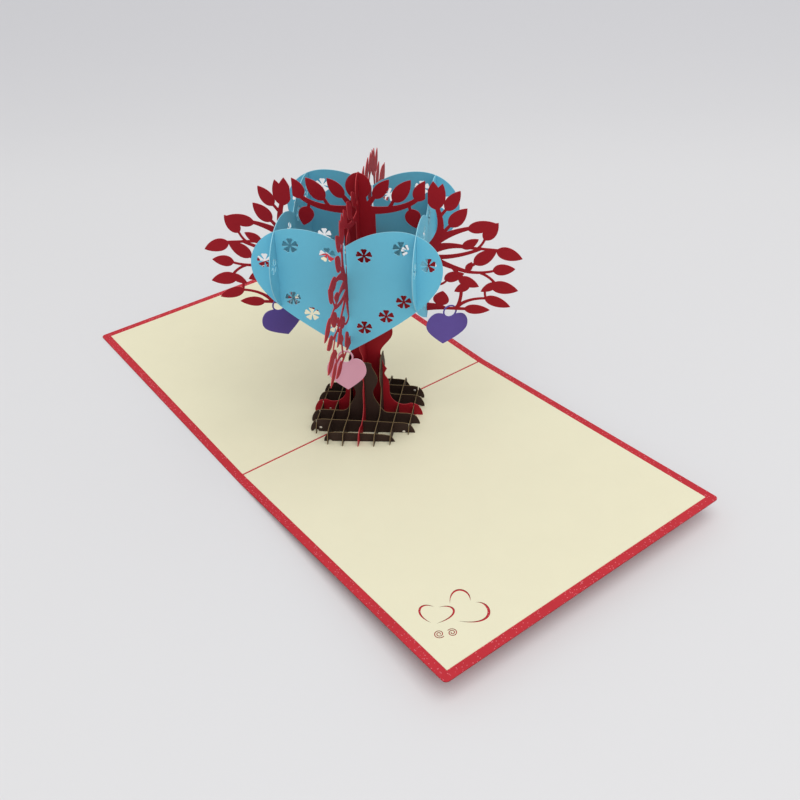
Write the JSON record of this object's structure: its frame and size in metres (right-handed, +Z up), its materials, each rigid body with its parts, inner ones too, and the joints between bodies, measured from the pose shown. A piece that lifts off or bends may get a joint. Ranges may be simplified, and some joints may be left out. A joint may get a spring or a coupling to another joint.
{
  "type": "pop-up card",
  "caption": "Open pop-up greeting card: a folded cover with pale pages and an interlocking paper tree with hearts that stands on the fold.",
  "frame": {"origin": "middle of the fold, on the surface that the back half lies on", "axes": "+X across the fold towards the front half, +Y along the fold, +Z up"},
  "size_m": [0.2996, 0.15, 0.1274],
  "materials": {
    "cover": "red pearl card with fine glitter",
    "page": "smooth cream card",
    "tree": "matt deep red card",
    "root": "matt dark brown card",
    "heart": "matt sky blue card",
    "charm_purple": "matt purple card",
    "charm_pink": "matt pink card"
  },
  "bodies": {
    "card": {"cover": "cover", "back_page": "page", "front_page": "page", "tree_across": "tree", "tree_along": "tree", "heart_front": "heart", "heart_back": "heart", "heart_left": "heart", "heart_right": "heart", "root_rib_a_plus_1": "root", "root_rib_a_plus_2": "root", "root_rib_a_plus_3": "root", "root_rib_a_minus_1": "root", "root_rib_a_minus_2": "root", "root_rib_a_minus_3": "root", "root_rib_b_plus_1": "root", "root_rib_b_plus_2": "root", "root_rib_b_plus_3": "root", "root_rib_b_minus_1": "root", "root_rib_b_minus_2": "root", "root_rib_b_minus_3": "root"},
    "charm_right": {"charm_right": "charm_purple"},
    "charm_left": {"charm_left": "charm_purple"},
    "charm_front": {"charm_front": "charm_pink"},
    "charm_back": {"charm_back": "charm_pink"}
  },
  "joints": [
    {"name": "swing_right", "type": "hinge", "parent": "card", "child": "charm_right", "pos_m": [0.0266, 0.02852, 0.0636], "axis": [0.682, 0.7314, 0], "range_deg": [-30, 30]},
    {"name": "swing_left", "type": "hinge", "parent": "card", "child": "charm_left", "pos_m": [-0.0266, -0.02852, 0.0636], "axis": [0.682, 0.7314, 0], "range_deg": [-30, 30]},
    {"name": "swing_front", "type": "hinge", "parent": "card", "child": "charm_front", "pos_m": [0.0266, -0.02852, 0.0636], "axis": [-0.682, 0.7314, 0], "range_deg": [-30, 30]},
    {"name": "swing_back", "type": "hinge", "parent": "card", "child": "charm_back", "pos_m": [-0.0266, 0.02852, 0.0636], "axis": [-0.682, 0.7314, 0], "range_deg": [-30, 30]}
  ]
}
